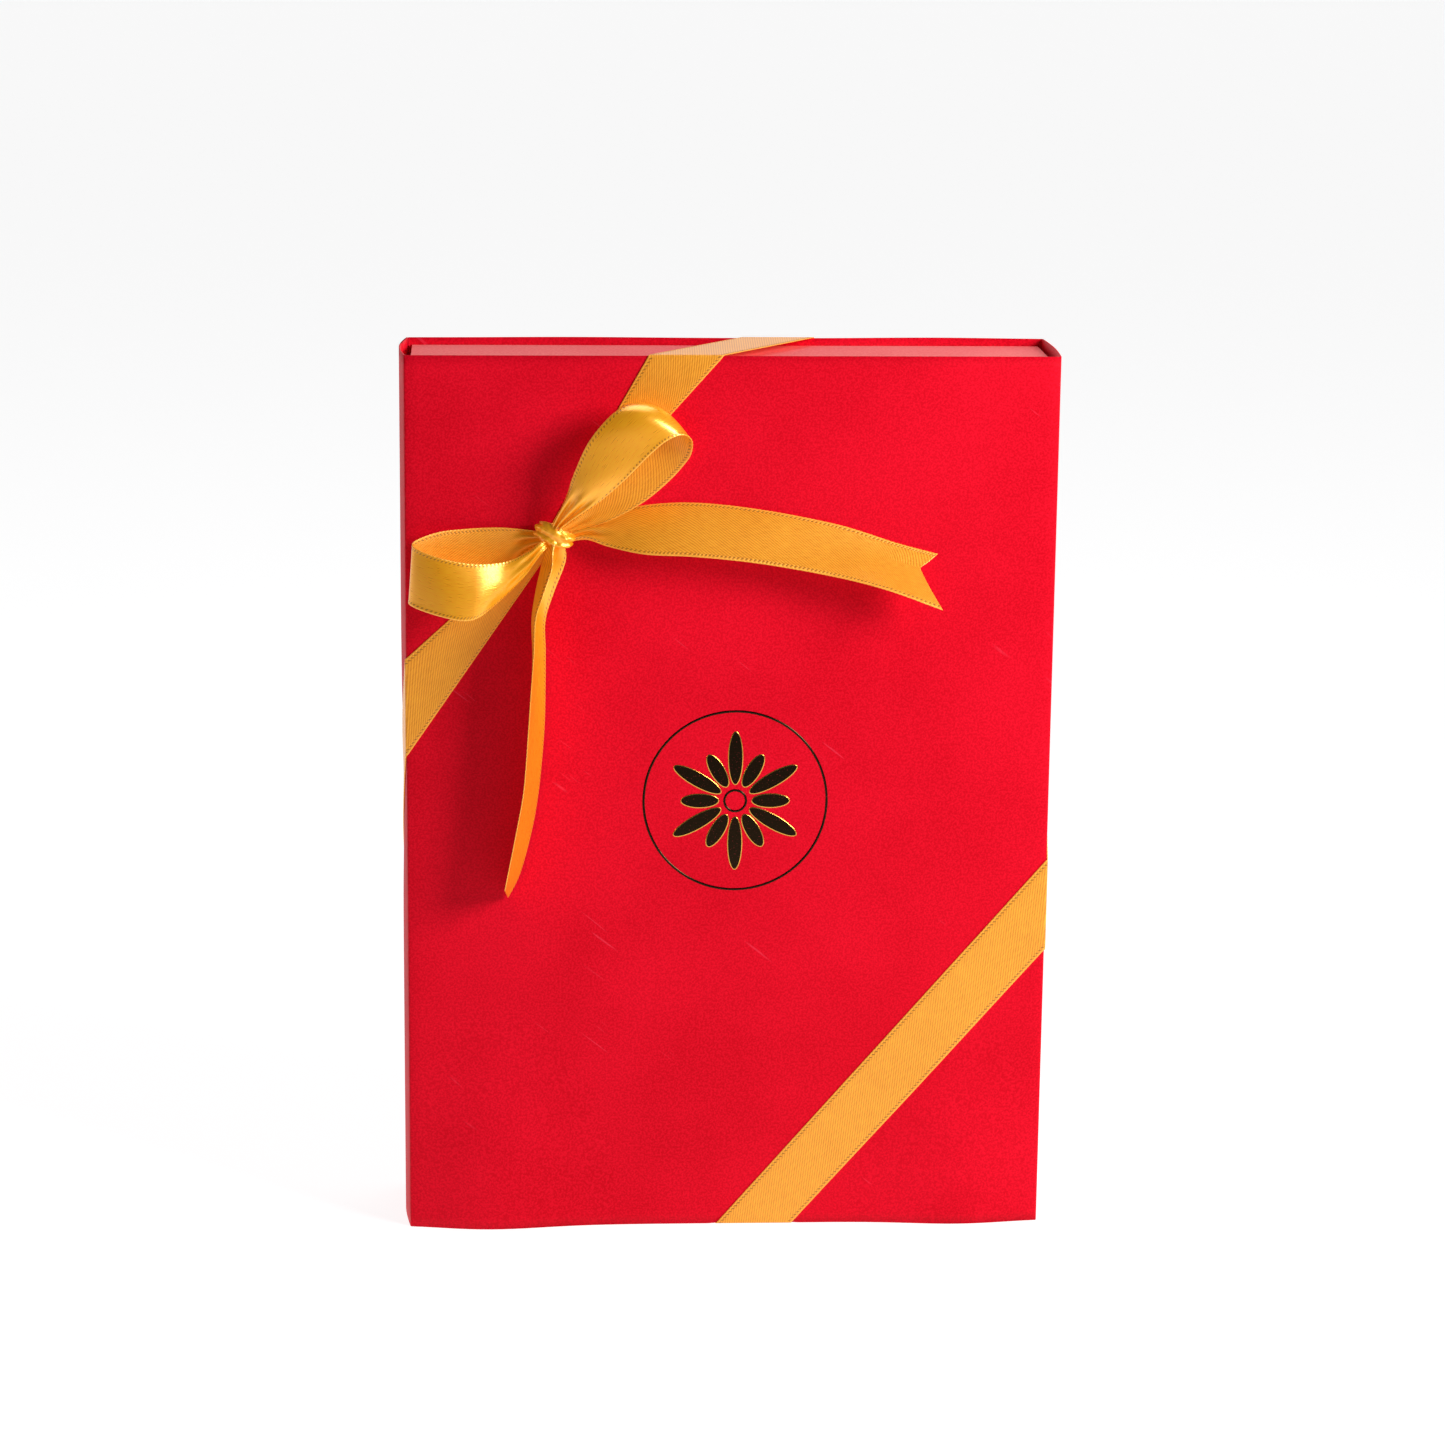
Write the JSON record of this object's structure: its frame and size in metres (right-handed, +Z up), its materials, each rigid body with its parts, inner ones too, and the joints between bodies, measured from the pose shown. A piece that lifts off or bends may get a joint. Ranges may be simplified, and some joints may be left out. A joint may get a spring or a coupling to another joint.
{
  "type": "gift box",
  "caption": "Tall flat card gift box on end: open-ended sleeve, slide-out wrapped tray, and a satin ribbon tied diagonally over two corners with a bow on the front.",
  "frame": {"origin": "on the surface the box stands on, at the middle of the sleeve's footprint", "axes": "+Z up along the box's height, -Y out of the front that carries the bow, +X to the right as the front is seen"},
  "size_m": [0.2206, 0.0665, 0.3063],
  "materials": {
    "sleeve_card": "matte",
    "adhesive": "matte",
    "greyboard": "matte",
    "gummed_paper": "matte",
    "wrap_paper": "matte",
    "satin": "satin"
  },
  "bodies": {
    "sleeve": {"sleeve": "sleeve_card", "seam_tape": "adhesive"},
    "tray": {"tray_base_board": "greyboard", "tray_wall_left": "greyboard", "tray_wall_right": "greyboard", "tray_wall_top": "greyboard", "tray_wall_bottom": "greyboard", "tray_stay_top_left": "gummed_paper", "tray_stay_top_right": "gummed_paper", "tray_stay_bottom_left": "gummed_paper", "tray_stay_bottom_right": "gummed_paper", "tray_wrap": "wrap_paper", "tray_liner": "wrap_paper"},
    "ribbon": {"ribbon_wrap": "satin", "bow_knot": "satin", "bow_loop_left": "satin", "bow_loop_upper": "satin", "bow_tail_right": "satin", "bow_tail_down": "satin"}
  },
  "joints": [
    {"name": "tray_slide", "type": "slide", "parent": "sleeve", "child": "tray", "axis": [0, 0, 1], "range_m": [0, 0.3]},
    {"name": "ribbon_off", "type": "slide", "parent": "sleeve", "child": "ribbon", "axis": [0, -1, 0], "range_m": [0, 0.09], "deforming": ["ribbon_wrap"]}
  ],
  "couplings": [
    {"joint": "ribbon_off", "follows": "tray_slide", "ratio": 0.3}
  ]
}
